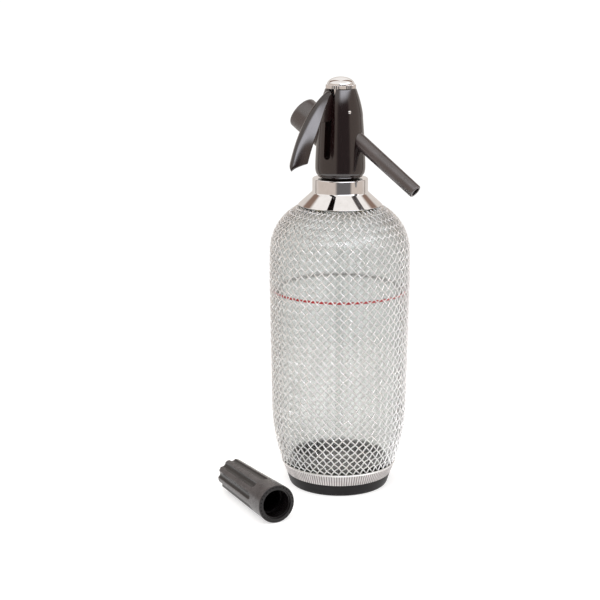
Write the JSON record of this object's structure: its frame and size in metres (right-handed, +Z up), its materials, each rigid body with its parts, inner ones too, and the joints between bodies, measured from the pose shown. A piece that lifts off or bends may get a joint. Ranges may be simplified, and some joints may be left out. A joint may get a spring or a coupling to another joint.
{
  "type": "soda siphon",
  "caption": "Glass soda siphon in a woven wire sleeve, with a lever head that unscrews, a downturned spout, a capped gas port and a loose charger holder.",
  "frame": {"origin": "centre of the base cup's underside, which stands on the table", "axes": "+Z up along the bottle, +X towards the spout, -X towards the gas port, -Y towards the lever"},
  "size_m": [0.1304, 0.1682, 0.316],
  "materials": {
    "base_black": "matte moulded",
    "band_metal": "fine ribbed, satin",
    "sleeve_wire": "bright drawn wire",
    "bottle_glass": "clear",
    "brass": "turned",
    "chrome": "polished",
    "seal_rubber": "matte",
    "tube_plastic": "milky",
    "inner_plastic": "moulded",
    "head_black": "gloss",
    "inner_steel": "turned",
    "satin_black": "satin moulded",
    "holder_black": "satin moulded"
  },
  "bodies": {
    "bottle": {"base_cup": "base_black", "hem_band": "band_metal", "hem_wire": "sleeve_wire", "glass_bottle": "bottle_glass", "mesh_sleeve": "sleeve_wire", "neck_ring": "brass", "neck_collar": "chrome", "lip_washer": "seal_rubber"},
    "head": {"riser_tube": "tube_plastic", "tube_holder": "inner_plastic", "valve_body": "brass", "head_shell": "head_black", "dome_cap": "chrome", "stem_seal": "seal_rubber", "gland_nut": "brass", "valve_spring": "inner_steel", "lever_pin": "chrome", "spout": "satin_black", "port_nipple": "inner_steel", "piercing_pin": "inner_steel", "charger_gasket": "seal_rubber", "check_valve": "seal_rubber"},
    "lever": {"lever": "head_black"},
    "valve": {"valve_stem": "inner_steel", "valve_washer": "seal_rubber"},
    "port_cap": {"port_cap": "satin_black"},
    "holder": {"charger_holder": "holder_black", "holder_thread": "holder_black"}
  },
  "joints": [
    {"name": "head_lift", "type": "slide", "parent": "bottle", "child": "head", "axis": [0, 0, 1], "range_m": [0, 0.04]},
    {"name": "lever_press", "type": "hinge", "parent": "head", "child": "lever", "pos_m": [0, -0.0086, 0.29099], "axis": [1, 0, 0], "range_deg": [0, 13], "stiffness_Nm_per_rad": 0.06, "springref_deg": -28.65},
    {"name": "valve_lift", "type": "slide", "parent": "head", "child": "valve", "axis": [0, 0, 1], "range_m": [0, 0.00195], "deforming": ["valve_spring"]},
    {"name": "port_cap_pull", "type": "slide", "parent": "head", "child": "port_cap", "axis": [-0.8192, 0, 0.5736], "range_m": [0, 0.03]},
    {"name": "holder_lift", "type": "slide", "parent": "bottle", "child": "holder", "axis": [0, 0, 1], "range_m": [0, 0.12]}
  ],
  "couplings": [
    {"joint": "lever_press", "follows": "valve_lift", "rad_per_m": 116.28}
  ]
}
